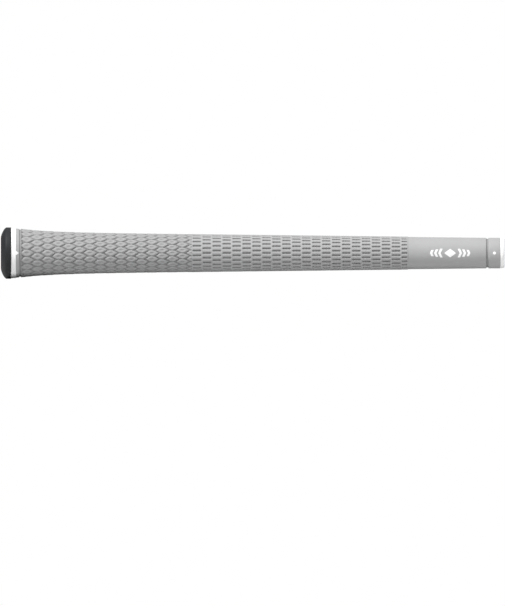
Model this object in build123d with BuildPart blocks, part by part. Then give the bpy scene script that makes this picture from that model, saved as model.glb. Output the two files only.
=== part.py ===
from build123d import *
from math import exp
import os

# Golf grip: a moulded rubber sleeve on a tapered inner core, closed by a round end cap at the thick
# end, with a white trim ring at each end and white inlaid marks.
# The axis of the grip lies along X. The origin is the centre of the seat inside the end cap, where
# the club shaft's butt end stops, and +X runs down the shaft. +Z is up, and the marks face -Y.
# Millimetres.

# Lengths along the axis, from the end cap's outer face to the mouth
cap_floor = 4.0
cap_flange_length = 5.5
butt_ring_length = 2.6
butt_collar_length = 1.7
butt_groove_width = 1.0
textured_length = 205.0
label_length = 41.5
tip_groove_width = 1.2
tip_collar_length = 6.3
tip_ring_length = 2.2

# End cap
cap_radius = 13.62
cap_face_radius = 7.8
cap_corner_length = 3.1
cap_corner_fullness = 0.36
cap_ring_inner_radius = 4.6
cap_ring_outer_radius = 6.6
cap_ring_depth = 0.35
vent_radius = 1.5
spigot_radius = 10.3
spigot_length = 4.7
bead_radius = 0.35
bead_inset = 1.0

# Butt ring and its pointer
butt_ring_radius = 13.35
butt_ring_end_radius = 13.2
ring_line_depth = 0.12
ring_line_width = 0.4
pointer_length = 1.5
pointer_width = 2.4
pointer_floor_radius = 12.0
pointer_tip_radius = 12.95

# Sleeve
butt_collar_radius = 13.04
butt_collar_end_radius = 12.85
butt_groove_radius = 12.5
barrel_radius = 11.13
barrel_taper = 0.01164
flare_height = 1.78
flare_length = 17.0
label_radius = 8.55
label_end_radius = 8.1
tip_groove_radius = 7.6
tip_collar_radius = 8.1
edge_round = 0.15

# Core liner: the bore of a 0.580 in grip, tapering to a parallel land at the mouth
bore_butt_radius = 7.37
bore_tip_radius = 6.2
bore_land = 12.0
liner_butt_radius = 8.2
liner_tip_radius = 7.0

# Tip ring
tip_ring_radius = 8.0
tip_ring_end_round = 0.8
tip_lip_radius = 7.4
tip_lip_length = 1.0

# White marks on the side that faces -Y
dot_radius = 0.85
dot_depth = 0.5
dot_proud = 0.08
dot_from_collar_end = 3.1
emblem_depth = 0.35
emblem_proud = 0.05
emblem_middle = 22.4
lozenge_length = 6.4
emblem_height = 4.7
bar_count = 3
bar_width = 1.3
bar_pitch = 2.35
bar_slant = 1.1
bar_first = 4.6
bar_shrink = 0.85

# Places along X
x_face = -cap_floor
x_ring = x_face + cap_flange_length
x_collar = x_ring + butt_ring_length
x_ring_line = (x_ring + x_collar) / 2
ring_line_radius = (butt_ring_radius + butt_ring_end_radius) / 2
x_groove = x_collar + butt_collar_length
x_texture = x_groove + butt_groove_width
x_label = x_texture + textured_length
x_tip_groove = x_label + label_length
x_tip_collar = x_tip_groove + tip_groove_width
x_tip_ring = x_tip_collar + tip_collar_length
x_mouth = x_tip_ring + tip_ring_length
x_spigot_end = x_ring + spigot_length
x_bead = x_spigot_end - bead_inset
x_land = x_mouth - bore_land
x_lip = x_tip_ring - tip_lip_length
x_emblem = x_label + emblem_middle
x_dot = x_tip_ring - dot_from_collar_end

# Points along the flare's curve, closer together where it bends most
profile_steps = 14
profile_crowding = 1.6


def body_radius(x):
    """Outer radius of the textured part: a long taper that flares towards the end cap."""
    along = x - x_texture
    return barrel_radius - barrel_taper * along + flare_height * exp(-along / flare_length)


def rim(piece, x):
    """The widest circular edge of a piece at one place along the axis."""
    circles = piece.edges().filter_by(GeomType.CIRCLE)
    return circles.filter_by_position(Axis.X, x - 0.01, x + 0.01).sort_by(SortBy.RADIUS)[-1]


# End cap: a domed flange with a vent hole, and a hollow spigot that snaps into the sleeve
with BuildPart() as end_cap:
    with BuildSketch(Plane.XY):
        with BuildLine():
            Polyline(
                (x_face, vent_radius),
                (x_face, cap_ring_inner_radius),
                (x_face + cap_ring_depth, cap_ring_inner_radius + cap_ring_depth),
                (x_face + cap_ring_depth, cap_ring_outer_radius - cap_ring_depth),
                (x_face, cap_ring_outer_radius),
                (x_face, cap_face_radius),
            )
            Bezier(
                (x_face, cap_face_radius),
                (x_face, cap_face_radius + cap_corner_fullness * (cap_radius - cap_face_radius)),
                (x_face + (1 - cap_corner_fullness) * cap_corner_length, cap_radius),
                (x_face + cap_corner_length, cap_radius),
            )
            Polyline(
                (x_face + cap_corner_length, cap_radius),
                (x_ring, cap_radius),
                (x_ring, spigot_radius),
                (x_bead - bead_radius, spigot_radius),
            )
            ThreePointArc(
                (x_bead - bead_radius, spigot_radius),
                (x_bead, spigot_radius + bead_radius),
                (x_bead + bead_radius, spigot_radius),
            )
            Polyline(
                (x_bead + bead_radius, spigot_radius),
                (x_spigot_end, spigot_radius),
                (x_spigot_end, bore_butt_radius),
                (0, bore_butt_radius),
                (0, vent_radius),
                (x_face, vent_radius),
            )
        make_face()
    revolve(axis=Axis.X)
    fillet(rim(end_cap, x_ring), edge_round)
end_cap.part.label = "end_cap"

# Butt ring: a white band with a fine line round it, and a triangular pointer that reaches into the
# sleeve's collar
with BuildPart() as butt_ring:
    with BuildSketch(Plane.XY):
        with BuildLine():
            Polyline(
                (x_ring, pointer_floor_radius),
                (x_ring, butt_ring_radius),
                (x_collar, butt_ring_end_radius - edge_round / 2),
                (x_collar + pointer_length, pointer_tip_radius),
                (x_collar + pointer_length, pointer_floor_radius),
                close=True,
            )
        make_face()
    revolve(axis=Axis.X)
    with BuildSketch(Plane.XZ):
        with BuildLine():
            Polyline(
                (x_collar + pointer_length, 0),
                (x_collar, pointer_width / 2),
                (x_ring + edge_round, pointer_width / 2),
                (x_ring + edge_round, -pointer_width / 2),
                (x_collar, -pointer_width / 2),
                close=True,
            )
        make_face()
    extrude(amount=cap_radius + 1, mode=Mode.INTERSECT)
    with BuildSketch(Plane.XY):
        with BuildLine():
            Polyline(
                (x_ring, spigot_radius),
                (x_ring, butt_ring_radius - edge_round),
                (x_ring + edge_round, butt_ring_radius),
                (x_ring_line - ring_line_width / 2, ring_line_radius),
                (x_ring_line, ring_line_radius - ring_line_depth),
                (x_ring_line + ring_line_width / 2, ring_line_radius),
                (x_collar - edge_round, butt_ring_end_radius),
                (x_collar, butt_ring_end_radius - edge_round),
                (x_collar, spigot_radius),
                close=True,
            )
        make_face()
    revolve(axis=Axis.X)
butt_ring.part.label = "butt_ring"

# Core liner: the firm inner tube that the shaft goes into
with BuildPart() as core_liner:
    with BuildSketch(Plane.XY):
        with BuildLine():
            Polyline(
                (x_spigot_end, bore_butt_radius),
                (x_spigot_end, liner_butt_radius),
                (x_land, liner_tip_radius),
                (x_mouth, liner_tip_radius),
                (x_mouth, bore_tip_radius),
                (x_land, bore_tip_radius),
                close=True,
            )
        make_face()
    revolve(axis=Axis.X)
core_liner.part.label = "core_liner"

# Tip ring: a white band at the mouth, with a lip that locates it under the sleeve
with BuildPart() as tip_ring:
    with BuildSketch(Plane.XY):
        with BuildLine():
            Polyline(
                (x_lip, liner_tip_radius),
                (x_lip, tip_lip_radius),
                (x_tip_ring, tip_lip_radius),
                (x_tip_ring, tip_ring_radius),
                (x_mouth, tip_ring_radius),
                (x_mouth, liner_tip_radius),
                close=True,
            )
        make_face()
    revolve(axis=Axis.X)
    fillet(rim(tip_ring, x_mouth), tip_ring_end_round)
    fillet(rim(tip_ring, x_tip_ring), edge_round)
tip_ring.part.label = "tip_ring"

# Index dot: a small white inlay that stands just proud of the tip collar
with BuildPart() as index_dot:
    with BuildSketch(Plane.XY):
        with Locations((x_dot, tip_collar_radius)):
            Rectangle(4 * dot_radius, dot_depth, align=(Align.CENTER, Align.MAX))
            Rectangle(4 * dot_radius, dot_proud, align=(Align.CENTER, Align.MIN))
    revolve(axis=Axis.X)
    with BuildSketch(Plane.XZ):
        with Locations((x_dot, 0)):
            Circle(dot_radius)
    extrude(amount=cap_radius, mode=Mode.INTERSECT)
index_dot.part.label = "index_dot"

# Emblem: a lozenge between slanted bars that grow shorter, let into the smooth zone
with BuildPart() as emblem:
    with BuildSketch(Plane.XY):
        with BuildLine():
            Polyline(
                (x_label, label_radius - emblem_depth),
                (x_label, label_radius + emblem_proud),
                (x_tip_groove, label_end_radius + emblem_proud),
                (x_tip_groove, label_end_radius - emblem_depth),
                close=True,
            )
        make_face()
    revolve(axis=Axis.X)
    with BuildSketch(Plane.XZ):
        with BuildLine():
            Polyline(
                (x_emblem - lozenge_length / 2, 0),
                (x_emblem, emblem_height / 2),
                (x_emblem + lozenge_length / 2, 0),
                (x_emblem, -emblem_height / 2),
                close=True,
            )
        make_face()
        for side in (-1, 1):
            for i in range(bar_count):
                foot = x_emblem + side * (bar_first + i * bar_pitch)
                half = emblem_height / 2 * bar_shrink**i
                lean = side * bar_slant * bar_shrink**i
                with BuildLine():
                    Polyline(
                        (foot - bar_width / 2, -half),
                        (foot + bar_width / 2, -half),
                        (foot + bar_width / 2 + lean, 0),
                        (foot + bar_width / 2, half),
                        (foot - bar_width / 2, half),
                        (foot - bar_width / 2 + lean, 0),
                        close=True,
                    )
                make_face()
    extrude(amount=cap_radius, mode=Mode.INTERSECT)
emblem.part.label = "emblem"

# Sleeve: the grey outer body, with a socket for the cap's spigot and pockets for the marks
with BuildPart() as grip_sleeve:
    with BuildSketch(Plane.XY):
        with BuildLine():
            Polyline(
                (x_collar, spigot_radius),
                (x_collar, butt_collar_radius),
                (x_groove, butt_collar_end_radius),
                (x_groove, butt_groove_radius),
                (x_texture, butt_groove_radius),
                (x_texture, body_radius(x_texture)),
            )
            shares = [(i / profile_steps) ** profile_crowding for i in range(profile_steps + 1)]
            Spline([(x, body_radius(x)) for x in [x_texture + textured_length * f for f in shares]])
            Polyline(
                (x_label, body_radius(x_label)),
                (x_label, label_radius),
                (x_tip_groove, label_end_radius),
                (x_tip_groove, tip_groove_radius),
                (x_tip_collar, tip_groove_radius),
                (x_tip_collar, tip_collar_radius),
                (x_tip_ring, tip_collar_radius),
                (x_tip_ring, tip_lip_radius),
                (x_lip, tip_lip_radius),
                (x_lip, liner_tip_radius),
                (x_land, liner_tip_radius),
                (x_spigot_end, liner_butt_radius),
                (x_spigot_end, spigot_radius),
                (x_bead + bead_radius, spigot_radius),
            )
            ThreePointArc(
                (x_bead - bead_radius, spigot_radius),
                (x_bead, spigot_radius + bead_radius),
                (x_bead + bead_radius, spigot_radius),
            )
            Line((x_bead - bead_radius, spigot_radius), (x_collar, spigot_radius))
        make_face()
    revolve(axis=Axis.X)
    for x in (x_collar, x_groove, x_texture, x_label, x_tip_groove, x_tip_collar, x_tip_ring):
        fillet(rim(grip_sleeve, x), edge_round)
    for inlay in (butt_ring, index_dot, emblem):
        add(inlay.part, mode=Mode.SUBTRACT)
grip_sleeve.part.label = "grip_sleeve"

os.makedirs("parts", exist_ok=True)
export_step(end_cap.part, "parts/end_cap.step")
export_step(butt_ring.part, "parts/butt_ring.step")
export_step(grip_sleeve.part, "parts/grip_sleeve.step")
export_step(core_liner.part, "parts/core_liner.step")
export_step(tip_ring.part, "parts/tip_ring.step")
export_step(index_dot.part, "parts/index_dot.step")
export_step(emblem.part, "parts/emblem.step")
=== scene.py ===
import math

import bmesh
import bpy
import numpy as np
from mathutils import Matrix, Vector


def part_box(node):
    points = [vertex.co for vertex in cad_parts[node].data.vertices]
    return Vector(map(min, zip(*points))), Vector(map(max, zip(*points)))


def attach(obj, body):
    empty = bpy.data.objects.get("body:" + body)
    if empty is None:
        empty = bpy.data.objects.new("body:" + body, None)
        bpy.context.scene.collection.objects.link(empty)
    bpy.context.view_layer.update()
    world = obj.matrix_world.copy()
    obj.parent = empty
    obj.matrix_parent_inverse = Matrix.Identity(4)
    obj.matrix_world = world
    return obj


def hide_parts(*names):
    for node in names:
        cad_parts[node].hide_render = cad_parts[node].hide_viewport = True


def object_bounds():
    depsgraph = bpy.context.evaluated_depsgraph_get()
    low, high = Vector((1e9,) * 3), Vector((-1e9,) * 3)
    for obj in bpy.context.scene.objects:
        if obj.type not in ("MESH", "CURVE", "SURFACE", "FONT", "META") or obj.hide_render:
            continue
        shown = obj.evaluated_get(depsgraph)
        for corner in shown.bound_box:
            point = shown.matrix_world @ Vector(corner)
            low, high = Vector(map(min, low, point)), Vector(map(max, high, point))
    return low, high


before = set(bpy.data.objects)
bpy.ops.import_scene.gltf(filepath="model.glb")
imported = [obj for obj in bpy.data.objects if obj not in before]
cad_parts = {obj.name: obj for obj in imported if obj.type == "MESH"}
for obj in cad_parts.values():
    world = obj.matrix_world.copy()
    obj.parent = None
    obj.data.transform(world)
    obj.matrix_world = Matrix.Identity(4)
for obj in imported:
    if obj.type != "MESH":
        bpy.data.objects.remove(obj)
cad_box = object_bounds()

MM = 0.001


def place(node, corner, axis):
    """One coordinate of a CAD node's box, in millimetres."""
    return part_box(node)[corner][axis] / MM


# Places along the axis and radii that the frame gives, in millimetres
FACE = place("end_cap", 0, 0)
CAP_RADIUS = place("end_cap", 1, 2)
RING = place("butt_ring", 0, 0)
RING_RADIUS = place("butt_ring", 1, 2)
POINTER_TIP = place("butt_ring", 1, 0)
COLLAR = place("grip_sleeve", 0, 0)
TIP_RING = place("grip_sleeve", 1, 0)
MOUTH = place("tip_ring", 1, 0)
TIP_RING_RADIUS = place("tip_ring", 1, 2)
EMBLEM_START, EMBLEM_END = place("emblem", 0, 0), place("emblem", 1, 0)
EMBLEM_HALF = place("emblem", 1, 2)
DOT = (place("index_dot", 0, 0) + place("index_dot", 1, 0)) / 2
DOT_RADIUS = place("index_dot", 1, 2)

# Sleeve, in millimetres
GROOVE = COLLAR + 1.7
TEXTURE = GROOVE + 1.0
LENS_START = TEXTURE + 0.25
DASH_START = TEXTURE + 90.56
LABEL = TEXTURE + 205.0
TIP_GROOVE = LABEL + 41.5
TIP_COLLAR = TIP_GROOVE + 1.2
GROOVE_RADIUS = 12.5
BODY_RADIUS, BODY_TAPER = 11.13, 0.01164
FLARE_HEIGHT, FLARE_LENGTH = 1.78, 17.0
COLLAR_RADIUS, COLLAR_END_RADIUS = 13.04, 12.85
LABEL_RADIUS, LABEL_END_RADIUS = 8.55, 8.1
TIP_GROOVE_RADIUS = 7.6
TIP_COLLAR_RADIUS = 8.1
SOCKET_RADIUS = 10.3
SOCKET_FLOOR = RING + 4.7
LINER_BUTT_RADIUS, LINER_TIP_RADIUS = 8.2, 7.0
BORE_BUTT_RADIUS, BORE_TIP_RADIUS = 7.37, 6.2
BORE_LAND = MOUTH - 12.0
VENT_RADIUS = 1.5

# Upper-hand pattern: oval scales in staggered columns
LENS_AROUND = 20
LENS_COLUMNS = 16
LENS_END_COLUMNS = 16.41
LENS_FIRST_PITCH, LENS_PITCH_CHANGE = 5.6378, -0.008833
LENS_HALF_LENGTH, LENS_HALF_HEIGHT = 0.62, 0.56
LENS_POWER = 1.15
LENS_CORNER = 0.22
LENS_DEPTH = 0.7
LENS_EDGE, LENS_RISE = 0.14, 0.3
LENS_DIMPLE = 0.3
DIMPLE_LENGTH, DIMPLE_HEIGHT = 0.23, 0.15

# Lower-hand pattern: staggered slots
DASH_AROUND = 24
DASH_COLUMNS = 21
DASH_PITCH = 5.28
DASH_DEPTH = 0.64
DASH_HALF_LENGTH, DASH_HALF_WIDTH = 2.3, 0.5
DASH_SWELL, DASH_SWELL_PITCH = 0.16, 0.345

# How many points go round the plain rings
AROUND = 144
COLLAR_AROUND = 160
BAND_AROUND = 96
BORE_AROUND = 80


def body_radius(x):
    """Outer radius of the textured part of the sleeve."""
    along = x - TEXTURE
    return BODY_RADIUS - BODY_TAPER * along + FLARE_HEIGHT * math.exp(-along / FLARE_LENGTH)


def label_radius(x):
    """Outer radius of the smooth zone."""
    return LABEL_RADIUS + (LABEL_END_RADIUS - LABEL_RADIUS) * (x - LABEL) / (TIP_GROOVE - LABEL)


def smooth_step(t):
    """0 below 0, 1 above 1, and smooth between."""
    t = np.clip(t, 0.0, 1.0)
    return t * t * (3 - 2 * t)


def point(x, radius, angle):
    """A point of the grip in metres. Angle 0 faces the front, and a quarter turn faces up."""
    return (x * MM, -radius * math.cos(angle) * MM, radius * math.sin(angle) * MM)


# ---------------------------------------------------------------- meshes


def soften(outline, size, steps=4):
    """Rounds the corners of a closed outline of (x, radius) points. A point's third value is its own size."""
    result = []
    count = len(outline)
    for i, corner in enumerate(outline):
        here = Vector(corner[:2])
        before, after = Vector(outline[i - 1][:2]), Vector(outline[(i + 1) % count][:2])
        reach = corner[2] if len(corner) > 2 else size
        to_before, to_after = before - here, after - here
        straight = to_before.angle(to_after) > math.radians(172)
        if straight or reach == 0:
            result.append(tuple(here))
            continue
        reach = min(reach, 0.45 * to_before.length, 0.45 * to_after.length)
        a = here + to_before.normalized() * reach
        b = here + to_after.normalized() * reach
        for k in range(steps + 1):
            t = k / steps
            p = a * (1 - t) ** 2 + here * 2 * t * (1 - t) + b * t**2
            result.append(tuple(p))
    return result


def finish_mesh(name, verts, faces, material, sharp=38.0):
    """Makes a piece from points and faces: merged, facing outwards, smooth except at its sharp edges."""
    mesh = bpy.data.meshes.new(name)
    bm = bmesh.new()
    made = [bm.verts.new(v) for v in verts]
    for face in faces:
        corners = [made[i] for i in face]
        if len(set(corners)) > 2:
            bm.faces.new(corners)
    bmesh.ops.remove_doubles(bm, verts=bm.verts, dist=2e-6)
    bmesh.ops.dissolve_degenerate(bm, dist=1e-6, edges=bm.edges)
    bmesh.ops.recalc_face_normals(bm, faces=bm.faces)
    for face in bm.faces:
        face.smooth = True
    for edge in bm.edges:
        edge.smooth = edge.calc_face_angle(0) < math.radians(sharp)
    bmesh.ops.delete(bm, geom=[v for v in bm.verts if not v.link_faces], context="VERTS")
    bm.to_mesh(mesh)
    bm.free()
    piece = bpy.data.objects.new(name, mesh)
    bpy.context.scene.collection.objects.link(piece)
    mesh.materials.append(material)
    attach(piece, "root")
    return piece


def lathe(outline, around=AROUND):
    """Points and faces of a closed outline turned about the axis."""
    verts, faces = [], []
    for x, radius in outline:
        verts += [point(x, radius, 2 * math.pi * k / around) for k in range(around)]
    for i in range(len(outline)):
        j = (i + 1) % len(outline)
        for k in range(around):
            m = (k + 1) % around
            faces.append((i * around + k, i * around + m, j * around + m, j * around + k))
    return verts, faces


def zip_rings(faces, left, right):
    """Joins two rings of (angle, index) with any counts, sorted by angle, with triangles."""
    turn = 2 * math.pi
    i = j = 0
    a = left + [(left[0][0] + turn, left[0][1])]
    b = right + [(right[0][0] + turn, right[0][1])]
    while i < len(a) - 1 or j < len(b) - 1:
        if j == len(b) - 1 or (i < len(a) - 1 and a[i + 1][0] <= b[j + 1][0]):
            faces.append((a[i][1], a[i + 1][1], b[j][1]))
            i += 1
        else:
            faces.append((a[i][1], b[j + 1][1], b[j][1]))
            j += 1


def pad(left, right, half, surface, depth, bevel, rows=12, columns=6):
    """A raised inlay on the front. left(s) and right(s) give its ends along the axis at height s."""
    verts, faces = [], []

    def ring_grid(level, inset):
        start = len(verts)
        for i in range(rows + 1):
            s = (half - inset) * (2 * i / rows - 1)
            x0, x1 = left(s), right(s)
            gap = min(inset, (x1 - x0) / 2)
            for j in range(columns + 1):
                x = x0 + gap + (x1 - x0 - 2 * gap) * j / columns
                radius = surface(x)
                verts.append(point(x, radius + level, s / radius))
        return start

    top = ring_grid(0.0, bevel)
    edge = ring_grid(-bevel, 0.0)
    base = ring_grid(-depth, 0.0)
    width = columns + 1

    def border(start):
        low = [start + j for j in range(width)]
        up = [start + i * width + columns for i in range(1, rows + 1)]
        back = [start + rows * width + j for j in range(columns - 1, -1, -1)]
        down = [start + i * width for i in range(rows - 1, 0, -1)]
        return low + up + back + down

    for start, flip in ((top, False), (base, True)):
        for i in range(rows):
            for j in range(columns):
                a = start + i * width + j
                quad = (a, a + 1, a + 1 + width, a + width)
                faces.append(quad[::-1] if flip else quad)
    for upper, lower in ((top, edge), (edge, base)):
        a, b = border(upper), border(lower)
        for k in range(len(a)):
            m = (k + 1) % len(a)
            faces.append((a[k], a[m], b[m], b[k]))
    return verts, faces


# ---------------------------------------------------------------- pattern tiles


def strip(faces, outer, inner):
    """Quads between two rings of the same count."""
    for k in range(len(outer)):
        m = (k + 1) % len(outer)
        faces.append((outer[k], outer[m], inner[m], inner[k]))


def lens_level(u, v):
    """How far a point lies inside the outline of a pointed oval scale: 1 at its centre, 0 on the outline."""
    along, across = abs(u) / LENS_HALF_LENGTH, abs(v) / LENS_HALF_HEIGHT
    return 1 - (along**LENS_POWER + across**LENS_POWER) ** (1 / LENS_POWER)


def lens_height(u, v):
    """Height of one scale's cell below its crown, in millimetres."""
    raised = smooth_step((lens_level(u, v) + LENS_EDGE) / LENS_RISE)
    dimple = smooth_step(1.3 - (u / DIMPLE_LENGTH) ** 2 - (v / DIMPLE_HEIGHT) ** 2)
    dome = 0.04 * (u / 0.5) ** 2 + 0.1 * (v / 0.5) ** 2 + 0.15 * (v / 0.5) ** 8
    return -LENS_DEPTH * (1 - raised) - LENS_DIMPLE * dimple - dome * raised


def lens_tile():
    """One scale: (u, v, height) points and faces of a six-sided cell, whose slanted sides are the groove."""
    c = LENS_CORNER
    slant, flat = (0, 0.2, 0.4, 0.6, 0.8), (0, 0.2, 0.5, 0.8)
    sides = (((1 - c, 0), (c, 0.5), slant), ((c, 0.5), (-c, 0.5), flat), ((-c, 0.5), (c - 1, 0), slant))
    border = [(p[0] + (q[0] - p[0]) * f, p[1] + (q[1] - p[1]) * f) for p, q, places in sides for f in places]
    border += [(-u, -v) for u, v in border]
    count = len(border)
    points, faces = list(border), []

    def reach(u, v, level, most):
        low, high = 0.2, 1.0
        for _ in range(24):
            middle = (low + high) / 2
            if lens_level(u * middle, v * middle) > level:
                low = middle
            else:
                high = middle
        return min(low, most)

    rings = [list(range(count))]
    for level, most in ((-0.12, 0.93), (-0.04, 0.82), (0.06, 0.72)):
        rings.append(list(range(len(points), len(points) + count)))
        for u, v in border:
            s = reach(u, v, level, most)
            points.append((u * s, v * s))
    for outer, inner in zip(rings, rings[1:]):
        strip(faces, outer, inner)

    half = count // 2
    for a, b in ((0.3, 0.22), (0.22, 0.13), (0.13, 0.05)):
        ring = list(range(len(points), len(points) + half))
        for k in range(half):
            u, v = border[2 * k]
            angle = math.atan2(v, u)
            points.append((a * math.cos(angle), b * math.sin(angle)))
        previous = rings[-1]
        if len(previous) == count:
            for k in range(half):
                m = (k + 1) % half
                p, q, r = previous[2 * k], previous[2 * k + 1], previous[(2 * k + 2) % count]
                faces += [(p, q, ring[k]), (q, ring[m], ring[k]), (q, r, ring[m])]
        else:
            strip(faces, previous, ring)
        rings.append(ring)
    faces.append(tuple(rings[-1]))
    return [(u, v, lens_height(u, v)) for u, v in points], faces


def dash_tile():
    """One slot: (u, v, height) points and faces. The slot swells a little at its middle and its ends."""
    side = [(0.5, v) for v in (-0.5, -0.25, 0, 0.25)]
    top = [(u, 0.5) for u in (0.5, 0.345, 0.17, 0, -0.17, -0.345)]
    border = side + top + [(-u, -v) for u, v in side + top]
    points = [(u, v, 0.0) for u, v in border]
    faces = []
    rings = [list(range(len(border)))]
    cell = 2 * math.pi * body_radius(DASH_START + 55) / DASH_AROUND
    half_length = DASH_HALF_LENGTH / DASH_PITCH
    half_height = DASH_HALF_WIDTH / cell
    for grow, height in ((0.12, 0.0), (0.0, -0.1), (-0.16, -DASH_DEPTH)):
        ring = []
        for u, v in border:
            corner = abs(u) == 0.5 and abs(v) == 0.5
            swell = 1 + DASH_SWELL * math.cos(2 * math.pi * u / DASH_SWELL_PITCH)
            x = u / 0.5 * (half_length + grow / DASH_PITCH)
            y = v / 0.5 * (half_height * swell + grow / cell)
            if corner:
                x, y = x * 0.95, y * 0.8
            ring.append(len(points))
            points.append((x, y, height))
        strip(faces, rings[-1], ring)
        rings.append(ring)
    faces.append(tuple(rings[-1]))
    return points, faces


def lens_place(columns):
    """Where a number of scale columns ends along the axis. They grow slightly shorter towards the tip."""
    return LENS_START + LENS_FIRST_PITCH * columns + LENS_PITCH_CHANGE * columns**2


def dash_place(columns):
    """Where a number of slot columns ends. The last column is cut short by the smooth zone."""
    last = LABEL - 0.1 - DASH_START - DASH_COLUMNS * DASH_PITCH
    return DASH_START + DASH_PITCH * min(columns, DASH_COLUMNS) + last * max(0, columns - DASH_COLUMNS)


def add_column(verts, faces, tile, place_of, column, around, stagger):
    """Lays one ring of tiles round the sleeve."""
    points, tile_faces = tile
    step = 2 * math.pi / around
    for k in range(around):
        base = len(verts)
        for u, v, height in points:
            x = place_of(column + 0.5 + u)
            verts.append(point(x, body_radius(x) + height, (k + stagger + v) * step))
        faces += [tuple(base + i for i in face) for face in tile_faces]


def cut_tile(tile, end, side):
    """The part of a tile below u = end for side 1, or above it for side -1, with its cut edge left open."""
    bm = bmesh.new()
    made = [bm.verts.new(p) for p in tile[0]]
    for face in tile[1]:
        bm.faces.new([made[i] for i in face])
    geometry = bm.verts[:] + bm.edges[:] + bm.faces[:]
    bmesh.ops.bisect_plane(
        bm, geom=geometry, dist=1e-5, plane_co=(end, 0, 0), plane_no=(side, 0, 0), clear_outer=True
    )
    bm.verts.index_update()
    result = [tuple(v.co) for v in bm.verts], [tuple(v.index for v in f.verts) for f in bm.faces]
    bm.free()
    return result


def ring_at(verts, first, last, x):
    """(angle, index) of the points made between first and last that lie at x, one for each angle."""
    turn = 2 * math.pi
    found = []
    for i in range(first, last):
        if abs(verts[i][0] - x * MM) < 1e-6:
            angle = math.atan2(verts[i][2], -verts[i][1]) % turn
            found.append((0.0 if angle > turn - 1e-4 else angle, i))
    found.sort()
    return [p for n, p in enumerate(found) if n == 0 or p[0] - found[n - 1][0] > 1e-4]


def plain_ring(verts, x, radius, around):
    """Adds a plain ring of points and returns its (angle, index) list."""
    first = len(verts)
    verts += [point(x, radius, 2 * math.pi * k / around) for k in range(around)]
    return [(2 * math.pi * k / around, first + k) for k in range(around)]


def plain_rings(verts, faces, outline, around, previous=None):
    """Adds rings along an outline, joined to each other and to the previous ring."""
    for x, radius in outline:
        ring = plain_ring(verts, x, radius, around)
        if previous:
            zip_rings(faces, previous, ring)
        previous = ring
    return previous


def make_sleeve(material):
    """The grey body: both patterns, the grooves and collars, and the inside, as one closed mesh."""
    verts, faces = [], []
    butt = soften(
        [
            (SOCKET_FLOOR, SOCKET_RADIUS, 0),
            (COLLAR, SOCKET_RADIUS, 0.1),
            (COLLAR, COLLAR_RADIUS, 0.22),
            (GROOVE, COLLAR_END_RADIUS, 0.22),
            (GROOVE, GROOVE_RADIUS, 0.18),
            (TEXTURE, GROOVE_RADIUS, 0.18),
            (TEXTURE, body_radius(TEXTURE), 0.16),
            (LENS_START - 0.12, body_radius(LENS_START), 0),
        ],
        0.2,
    )
    first_ring = plain_rings(verts, faces, butt[:1], BORE_AROUND)
    previous = plain_rings(verts, faces, butt[1:], COLLAR_AROUND, first_ring)

    scale = lens_tile()
    first = len(verts)
    add_column(verts, faces, cut_tile(scale, 0.5, -1), lens_place, -1, LENS_AROUND, 0.5)
    add_column(verts, faces, cut_tile(scale, -0.5, -1), lens_place, 0, LENS_AROUND, 0.0)
    zip_rings(faces, previous, ring_at(verts, first, len(verts), LENS_START))
    for i in range(1, LENS_COLUMNS):
        add_column(verts, faces, scale, lens_place, i, LENS_AROUND, 0.5 * (i % 2))
    end = LENS_END_COLUMNS - LENS_COLUMNS - 0.5
    first = len(verts)
    add_column(verts, faces, cut_tile(scale, end, 1), lens_place, LENS_COLUMNS, LENS_AROUND, 0.0)
    lens_end = lens_place(LENS_END_COLUMNS)
    previous = ring_at(verts, first, len(verts), lens_end)

    band = [(lens_end + 0.1, body_radius(lens_end) - 0.04)]
    strip_end = plain_rings(verts, faces, band, BAND_AROUND, previous)
    slot = dash_tile()
    first = len(verts)
    for i in range(DASH_COLUMNS + 1):
        add_column(verts, faces, slot, dash_place, i, DASH_AROUND, 0.5 - 0.5 * (i % 2))
    zip_rings(faces, strip_end, ring_at(verts, first, len(verts), DASH_START))
    previous = ring_at(verts, first, len(verts), LABEL - 0.1)

    # The outline's last three points are the inside of the sleeve
    stations = [LABEL + f * (TIP_GROOVE - LABEL) for f in (0.01, 0.2, 0.4, 0.6, 0.8)]
    tip = soften(
        [(LABEL, body_radius(LABEL) - 0.05, 0), (LABEL + 0.05, LABEL_RADIUS + 0.03, 0)]
        + [(x, label_radius(x), 0) for x in stations]
        + [
            (TIP_GROOVE, LABEL_END_RADIUS, 0.25),
            (TIP_GROOVE + 0.1, TIP_GROOVE_RADIUS, 0.2),
            (TIP_COLLAR - 0.1, TIP_GROOVE_RADIUS, 0.2),
            (TIP_COLLAR, TIP_COLLAR_RADIUS, 0.25),
            (TIP_RING - 0.05, TIP_COLLAR_RADIUS, 0.2),
            (TIP_RING - 0.05, LINER_TIP_RADIUS, 0),
            (BORE_LAND, LINER_TIP_RADIUS, 0),
            (SOCKET_FLOOR, LINER_BUTT_RADIUS, 0),
        ],
        0.2,
    )
    previous = plain_rings(verts, faces, tip[:-3], COLLAR_AROUND, previous)
    previous = plain_rings(verts, faces, tip[-3:], BORE_AROUND, previous)
    zip_rings(faces, previous, first_ring)
    piece = finish_mesh("grip_sleeve_body", verts, faces, material, 50)
    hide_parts("grip_sleeve")
    return piece


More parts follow.
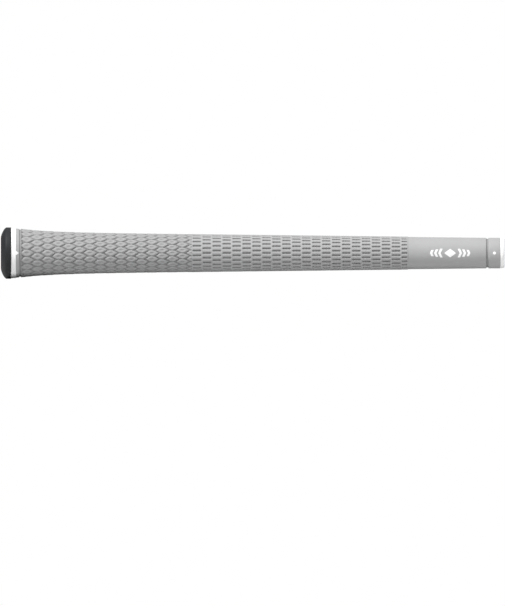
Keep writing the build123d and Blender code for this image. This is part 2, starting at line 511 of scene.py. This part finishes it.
def make_cap(material):
    """The black end cap: a round-cornered flange with a ring and the vent hole on its face, and a spigot."""
    corner_length, face_radius, fullness = 3.1, 7.8, 0.36
    outline = [
        (FACE, VENT_RADIUS, 0.3),
        (FACE, 4.45, 0.25),
        (FACE + 0.4, 4.75, 0.2),
        (FACE + 0.4, 6.45, 0.2),
        (FACE, 6.75, 0.25),
    ]
    for k in range(19):
        t = k / 18
        first, second, third = 3 * t * (1 - t) ** 2, 3 * t**2 * (1 - t), t**3
        x = FACE + corner_length * (second * (1 - fullness) + third)
        outline.append((x, face_radius + (CAP_RADIUS - face_radius) * (first * fullness + second + third), 0))
    outline += [
        (RING - 0.03, CAP_RADIUS, 0.2),
        (RING - 0.03, SOCKET_RADIUS - 0.1, 0),
        (SOCKET_FLOOR, SOCKET_RADIUS - 0.1, 0.4),
        (SOCKET_FLOOR, BORE_BUTT_RADIUS, 0.2),
        (0.0, BORE_BUTT_RADIUS, 0.3),
        (0.0, VENT_RADIUS, 0.3),
    ]
    verts, faces = lathe(soften(outline, 0.2))
    piece = finish_mesh("end_cap_body", verts, faces, material)
    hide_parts("end_cap")


def make_butt_ring(material):
    """The white ring next to the cap, and the pointer that reaches over the sleeve's collar."""
    end_radius = RING_RADIUS - 0.15
    line, line_radius = (RING + COLLAR) / 2, RING_RADIUS - 0.075
    outline = [
        (RING, SOCKET_RADIUS, 0),
        (RING, RING_RADIUS, 0.2),
        (line - 0.2, line_radius, 0.06),
        (line, line_radius - 0.14, 0.06),
        (line + 0.2, line_radius, 0.06),
        (COLLAR - 0.03, end_radius, 0.2),
        (COLLAR - 0.03, SOCKET_RADIUS, 0),
    ]
    verts, faces = lathe(soften(outline, 0.2))
    length, half = POINTER_TIP - COLLAR, 1.2

    def surface(x):
        return end_radius - 0.17 * max(0.0, x - COLLAR)

    pointer, pointer_faces = pad(
        lambda s: COLLAR - 0.4,
        lambda s: COLLAR + length * (1 - abs(s) / half),
        half,
        surface,
        1.0,
        0.1,
    )
    base = len(verts)
    verts += pointer
    faces += [tuple(base + i for i in face) for face in pointer_faces]
    piece = finish_mesh("butt_ring_body", verts, faces, material)
    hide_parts("butt_ring")


def make_tip_ring(material):
    """The white ring at the mouth, with a well rounded outer end."""
    outline = [
        (TIP_RING, LINER_TIP_RADIUS, 0),
        (TIP_RING, TIP_RING_RADIUS, 0.15),
        (MOUTH - 1.1, TIP_RING_RADIUS, 0.5),
        (MOUTH - 0.3, TIP_RING_RADIUS - 0.25, 0.4),
        (MOUTH, TIP_RING_RADIUS - 0.7, 0.3),
        (MOUTH, LINER_TIP_RADIUS, 0.08),
    ]
    verts, faces = lathe(soften(outline, 0.2, 6))
    piece = finish_mesh("tip_ring_body", verts, faces, material)
    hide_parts("tip_ring")


def make_liner(material):
    """The dark inner tube, seen at the mouth and down the bore."""
    outline = [
        (SOCKET_FLOOR, BORE_BUTT_RADIUS, 0),
        (SOCKET_FLOOR, LINER_BUTT_RADIUS - 0.02, 0),
        (BORE_LAND, LINER_TIP_RADIUS - 0.02, 0),
        (MOUTH - 0.08, LINER_TIP_RADIUS - 0.02, 0.08),
        (MOUTH - 0.08, BORE_TIP_RADIUS, 0.35),
        (BORE_LAND, BORE_TIP_RADIUS, 0),
    ]
    verts, faces = lathe(soften(outline, 0.2))
    piece = finish_mesh("core_liner_tube", verts, faces, material)
    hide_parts("core_liner")


def make_dot(material):
    """The white inlaid dot, a little domed."""

    def end(s):
        return math.sqrt(max(DOT_RADIUS**2 - s * s, 0.0))

    verts, faces = pad(
        lambda s: DOT - end(s),
        lambda s: DOT + end(s),
        DOT_RADIUS,
        lambda x: TIP_COLLAR_RADIUS + 0.08,
        0.4,
        0.07,
    )
    piece = finish_mesh("index_dot_inlay", verts, faces, material)
    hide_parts("index_dot")


def make_emblem(material):
    """A plain mark in place of a maker's: a lozenge between slanted bars that grow shorter."""
    middle = (EMBLEM_START + EMBLEM_END) / 2
    lozenge, bar_width, first_bar, bar_pitch, slant, shrink = 3.2, 1.3, 4.6, 2.35, 1.1, 0.85
    verts, faces = [], []

    def surface(x):
        return label_radius(x) + 0.05

    def add(left, right, half, columns):
        more, more_faces = pad(left, right, half, surface, 0.3, 0.05, 12, columns)
        base = len(verts)
        verts.extend(more)
        faces.extend(tuple(base + i for i in face) for face in more_faces)

    add(
        lambda s: middle - lozenge * (1 - abs(s) / EMBLEM_HALF),
        lambda s: middle + lozenge * (1 - abs(s) / EMBLEM_HALF),
        EMBLEM_HALF,
        8,
    )
    for side in (-1, 1):
        for i in range(3):
            foot = middle + side * (first_bar + i * bar_pitch)
            half = EMBLEM_HALF * shrink**i
            lean = side * slant * shrink**i

            def left(s, foot=foot, half=half, lean=lean):
                return foot - bar_width / 2 + lean * (1 - abs(s) / half)

            def right(s, foot=foot, half=half, lean=lean):
                return foot + bar_width / 2 + lean * (1 - abs(s) / half)

            add(left, right, half, 3)
    piece = finish_mesh("emblem_inlay", verts, faces, material)
    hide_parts("emblem")


# ---------------------------------------------------------------- materials


def node(tree, kind, inputs=None, **settings):
    """Adds a shader node with some of its settings and inputs."""
    made = tree.nodes.new(kind)
    for key, value in settings.items():
        setattr(made, key, value)
    for key, value in (inputs or {}).items():
        made.inputs[key].default_value = value
    return made


def rubber(name, colour, shade, roughness, grain, grain_size, specular, groove_painted_shade=None):
    """Moulded rubber with a fine matt grain and slow changes of tone. The last argument, if given, is painted
    shade: the colour is multiplied darker in the grooves.
    """
    material = bpy.data.materials.new(name)
    material.use_nodes = True
    tree = material.node_tree
    surface = tree.nodes["Principled BSDF"]
    surface.inputs["Specular IOR Level"].default_value = specular
    where = node(tree, "ShaderNodeTexCoord")

    cloud = node(tree, "ShaderNodeTexNoise", {"Scale": 160.0, "Detail": 4.0})
    tree.links.new(where.outputs["Object"], cloud.inputs["Vector"])
    tone = node(tree, "ShaderNodeMix", data_type="RGBA")
    tone.inputs["A"].default_value = (*[c * shade for c in colour], 1)
    tone.inputs["B"].default_value = (*colour, 1)
    tree.links.new(cloud.outputs["Fac"], tone.inputs["Factor"])
    result = tone.outputs["Result"]
    # Painted shade: the colour is multiplied darker where the sleeve's groove attribute marks a deep point.
    if groove_painted_shade is not None:
        depth = node(tree, "ShaderNodeAttribute", attribute_name="groove")
        painted_shade = node(tree, "ShaderNodeMix", data_type="RGBA", blend_type="MULTIPLY")
        painted_shade.inputs["B"].default_value = (groove_painted_shade, groove_painted_shade, groove_painted_shade, 1)
        tree.links.new(depth.outputs["Fac"], painted_shade.inputs["Factor"])
        tree.links.new(result, painted_shade.inputs["A"])
        result = painted_shade.outputs["Result"]
    tree.links.new(result, surface.inputs["Base Color"])

    fine = node(tree, "ShaderNodeTexNoise", {"Scale": 1 / (grain_size * MM), "Detail": 3.0})
    tree.links.new(where.outputs["Object"], fine.inputs["Vector"])
    bump = node(tree, "ShaderNodeBump", {"Strength": grain, "Distance": 0.05 * MM})
    tree.links.new(fine.outputs["Fac"], bump.inputs["Height"])
    tree.links.new(bump.outputs["Normal"], surface.inputs["Normal"])
    gloss = node(tree, "ShaderNodeMapRange", {"To Min": roughness - 0.06, "To Max": roughness + 0.06})
    tree.links.new(cloud.outputs["Fac"], gloss.inputs["Value"])
    tree.links.new(gloss.outputs["Result"], surface.inputs["Roughness"])
    return material


# Painted shade in the grooves: where it starts and over what range it deepens, in millimetres below the
# crown, and the painted shade already on the scales' crowns
PAINTED_SHADE_FROM, PAINTED_SHADE_RANGE = 0.08, 0.34
SCALE_PAINTED_SHADE = 0.2


def mark_painted_groove_shade(piece):
    """Stores painted shade for the sleeve: how deep each point of the pattern lies, from 0 at the crown to 1
    at the floor, with a painted shade added on the scales' crowns.
    """
    co = np.zeros(len(piece.data.vertices) * 3)
    piece.data.vertices.foreach_get("co", co)
    co = co.reshape(-1, 3) / MM
    radius = np.hypot(co[:, 1], co[:, 2])
    crown = np.zeros(len(co))
    for start, end, level in (
        (GROOVE - 0.05, TEXTURE + 0.05, lambda x: COLLAR_END_RADIUS + 0.2),
        (LENS_START, LABEL - 0.1, body_radius),
        (TIP_GROOVE - 0.05, TIP_COLLAR + 0.05, lambda x: TIP_COLLAR_RADIUS),
    ):
        for i in np.flatnonzero((co[:, 0] > start) & (co[:, 0] < end)):
            crown[i] = level(co[i, 0])
    depth = np.clip((crown - radius - PAINTED_SHADE_FROM) / PAINTED_SHADE_RANGE, 0, 1)
    depth[radius < TIP_GROOVE_RADIUS - 0.1] = 0
    # The scale zone gets a painted shade on its crowns as well as in its grooves.
    scales = (co[:, 0] > TEXTURE) & (co[:, 0] < DASH_START) & (radius > LINER_BUTT_RADIUS + 0.5)
    depth[scales] = SCALE_PAINTED_SHADE + (1 - SCALE_PAINTED_SHADE) * depth[scales]
    attribute = piece.data.attributes.new("groove", "FLOAT", "POINT")
    attribute.data.foreach_set("value", depth.astype(np.float32))


# ---------------------------------------------------------------- setting

KEY_POWER = 3.75
KEY_ANGLE = 0.37
SKY_LEVELS = 0.42, 0.72  # just above the horizon and overhead; the horizon itself is white
LEFT_LEVEL = 0.1
FLOOR_LEVEL = 0.64
BELOW_LEVEL = 0.895  # the surround below the horizon, as bright as the lit floor that covers it


def make_floor():
    """A plain pale floor that the cap's rim stands on."""
    level = cad_box[0].z - 0.0002
    mesh = bpy.data.meshes.new("floor")
    size = 40.0
    corners = [(x, y, level) for x, y in ((-size, -size), (size, -size), (size, size), (-size, size))]
    mesh.from_pydata(corners, [], [(0, 1, 2, 3)])
    floor = bpy.data.objects.new("floor", mesh)
    bpy.context.scene.collection.objects.link(floor)
    material = bpy.data.materials.new("floor_matt")
    material.use_nodes = True
    tree = material.node_tree
    surface = tree.nodes["Principled BSDF"]
    surface.inputs["Roughness"].default_value = 0.9
    surface.inputs["Specular IOR Level"].default_value = 0.1
    surface.inputs["Base Color"].default_value = (FLOOR_LEVEL, FLOOR_LEVEL, FLOOR_LEVEL, 1)
    mesh.materials.append(material)


def make_lights():
    """A broad soft light from above, the left and the front, and a pale surround, dimmer to the left."""
    data = bpy.data.lights.new("key", "SUN")
    data.energy = KEY_POWER
    data.angle = KEY_ANGLE
    key = bpy.data.objects.new("key", data)
    key.location = (-1.35, -1.08, 2.1)
    key.rotation_euler = (-key.location).to_track_quat("-Z", "Y").to_euler()
    bpy.context.scene.collection.objects.link(key)

    world = bpy.data.worlds.new("studio")
    bpy.context.scene.world = world
    world.use_nodes = True
    tree = world.node_tree
    background = tree.nodes["Background"]
    where = node(tree, "ShaderNodeTexCoord")
    split = node(tree, "ShaderNodeSeparateXYZ")
    tree.links.new(where.outputs["Generated"], split.inputs["Vector"])
    height = node(tree, "ShaderNodeMapRange", {"From Max": 1.0})
    tree.links.new(split.outputs["Z"], height.inputs["Value"])
    ramp = node(tree, "ShaderNodeValToRGB")
    tree.links.new(height.outputs["Result"], ramp.inputs["Fac"])
    near, overhead = SKY_LEVELS
    stops = ramp.color_ramp.elements
    stops[0].color = (1, 1, 1, 1)
    stops[1].color = (overhead, overhead, overhead, 1)
    for place_z, level in ((0.02, 1.0), (0.06, near)):
        stops.new(place_z).color = (level, level, level, 1)
    side = node(tree, "ShaderNodeMapRange", {"From Min": -0.9, "From Max": 0.0, "To Min": LEFT_LEVEL})
    tree.links.new(split.outputs["X"], side.inputs["Value"])
    dim = node(tree, "ShaderNodeMix", {"Factor": 1.0}, data_type="RGBA", blend_type="MULTIPLY")
    tree.links.new(ramp.outputs["Color"], dim.inputs["A"])
    tree.links.new(side.outputs["Result"], dim.inputs["B"])
    above = node(tree, "ShaderNodeMapRange", {"From Min": -0.03, "From Max": -0.02})
    tree.links.new(split.outputs["Z"], above.inputs["Value"])
    both = node(tree, "ShaderNodeMix", data_type="RGBA")
    both.inputs["A"].default_value = (BELOW_LEVEL, BELOW_LEVEL, BELOW_LEVEL, 1)
    tree.links.new(above.outputs["Result"], both.inputs["Factor"])
    tree.links.new(dim.outputs["Result"], both.inputs["B"])
    tree.links.new(both.outputs["Result"], background.inputs["Color"])


# The picture in lengths of the grip: its height, its middle from the cap's face, the axis above its middle
PICTURE_HEIGHT = 1.20298
PICTURE_MIDDLE = 0.49975
AXIS_ABOVE_MIDDLE = 0.09906


def make_camera():
    """An orthographic camera square on to the grip, which lies above the middle of the picture."""
    data = bpy.data.cameras.new("camera")
    data.type = "ORTHO"
    length = (cad_box[1] - cad_box[0]).x
    data.ortho_scale = PICTURE_HEIGHT * length
    data.clip_start, data.clip_end = 0.01, 10.0
    camera = bpy.data.objects.new("camera", data)
    camera.location = (cad_box[0].x + PICTURE_MIDDLE * length, -1.0, -AXIS_ABOVE_MIDDLE * length)
    camera.rotation_euler = (math.pi / 2, 0, 0)
    bpy.context.scene.collection.objects.link(camera)
    bpy.context.scene.camera = camera


make_camera()
make_floor()
make_lights()
bpy.context.scene.view_settings.view_transform = "Standard"

# The grey's last value, 0.72, is the painted shade in its grooves.
grey = rubber("grey_rubber", (0.397, 0.397, 0.401), 0.94, 0.62, 0.25, 0.35, 0.3, 0.72)
white = rubber("white_rubber", (0.93, 0.93, 0.93), 0.98, 0.5, 0.15, 0.4, 0.35)
black = rubber("cap_rubber", (0.0155, 0.0165, 0.018), 0.85, 0.62, 0.3, 0.3, 0.34)
core = rubber("core_rubber", (0.05, 0.05, 0.052), 0.8, 0.7, 0.3, 0.4, 0.25)
inlay = rubber("white_inlay", (0.93, 0.93, 0.93), 0.98, 0.45, 0.08, 0.3, 0.4)

sleeve = make_sleeve(grey)
mark_painted_groove_shade(sleeve)
make_cap(black)
make_butt_ring(white)
make_tip_ring(white)
make_liner(core)
make_dot(inlay)
make_emblem(inlay)
